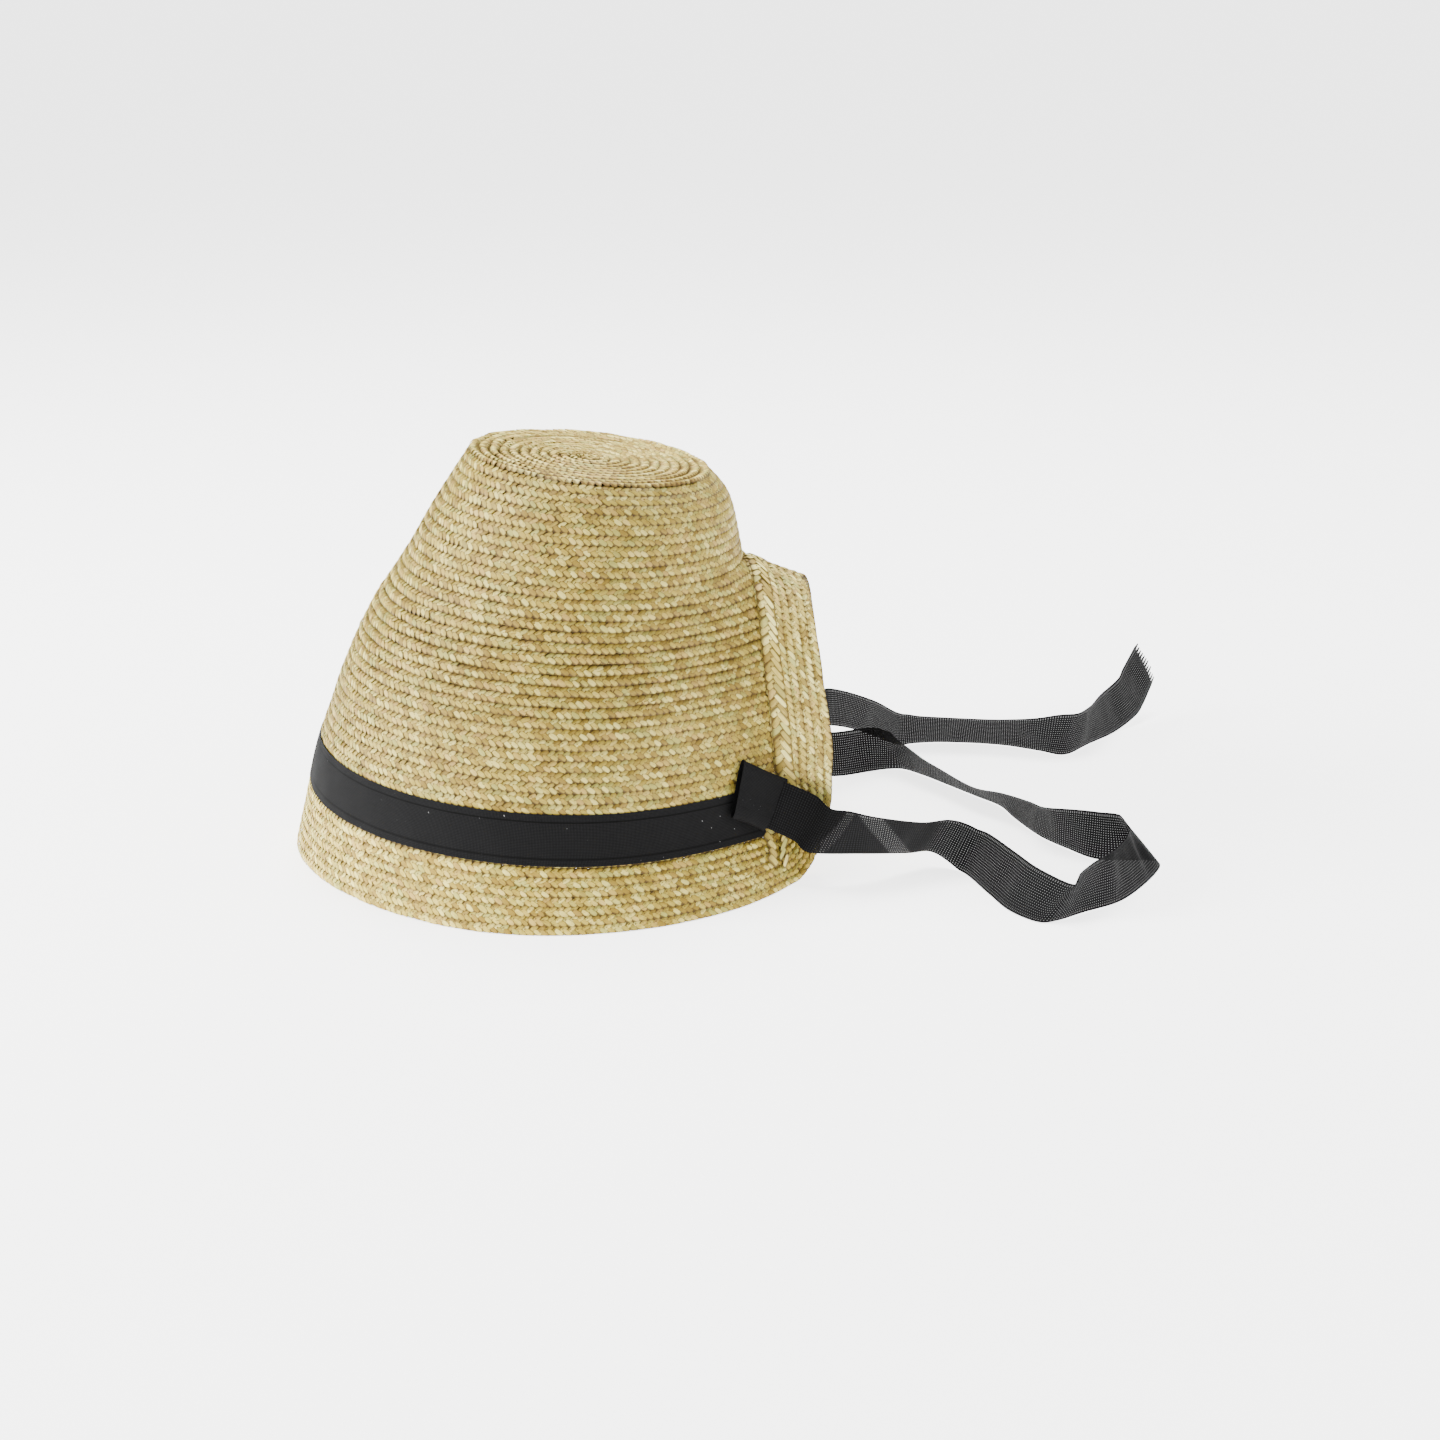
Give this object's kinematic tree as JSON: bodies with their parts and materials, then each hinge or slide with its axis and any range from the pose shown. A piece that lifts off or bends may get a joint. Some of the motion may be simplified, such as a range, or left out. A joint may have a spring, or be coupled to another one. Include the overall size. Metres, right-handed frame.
{
  "type": "poke bonnet",
  "caption": "Bonnet of sewn straw braid with a deep crown, a short brim, a curtain round the neck opening, a ribbon band and long ribbon ties.",
  "frame": {"origin": "on the table, under the middle of the rim of the brim", "axes": "+X to the nape, -Y to the wearer's left, +Z to the tip of the crown"},
  "size_m": [0.4863, 0.3482, 0.2076],
  "materials": {
    "straw_braid": "sewn braid of flattened straw, dull with a faint sheen",
    "straw_binding": "wide flat braid of paler straw, dull with a faint sheen",
    "black_ribbon": "matt open-weave black ribbon"
  },
  "bodies": {
    "root": {"crown": "straw_braid", "brim": "straw_braid", "neck_curtain": "straw_braid", "neck_binding": "straw_binding", "hat_band": "black_ribbon", "knot_left": "black_ribbon", "knot_right": "black_ribbon", "tie_left": "black_ribbon", "tie_right": "black_ribbon"}
  },
  "joints": []
}
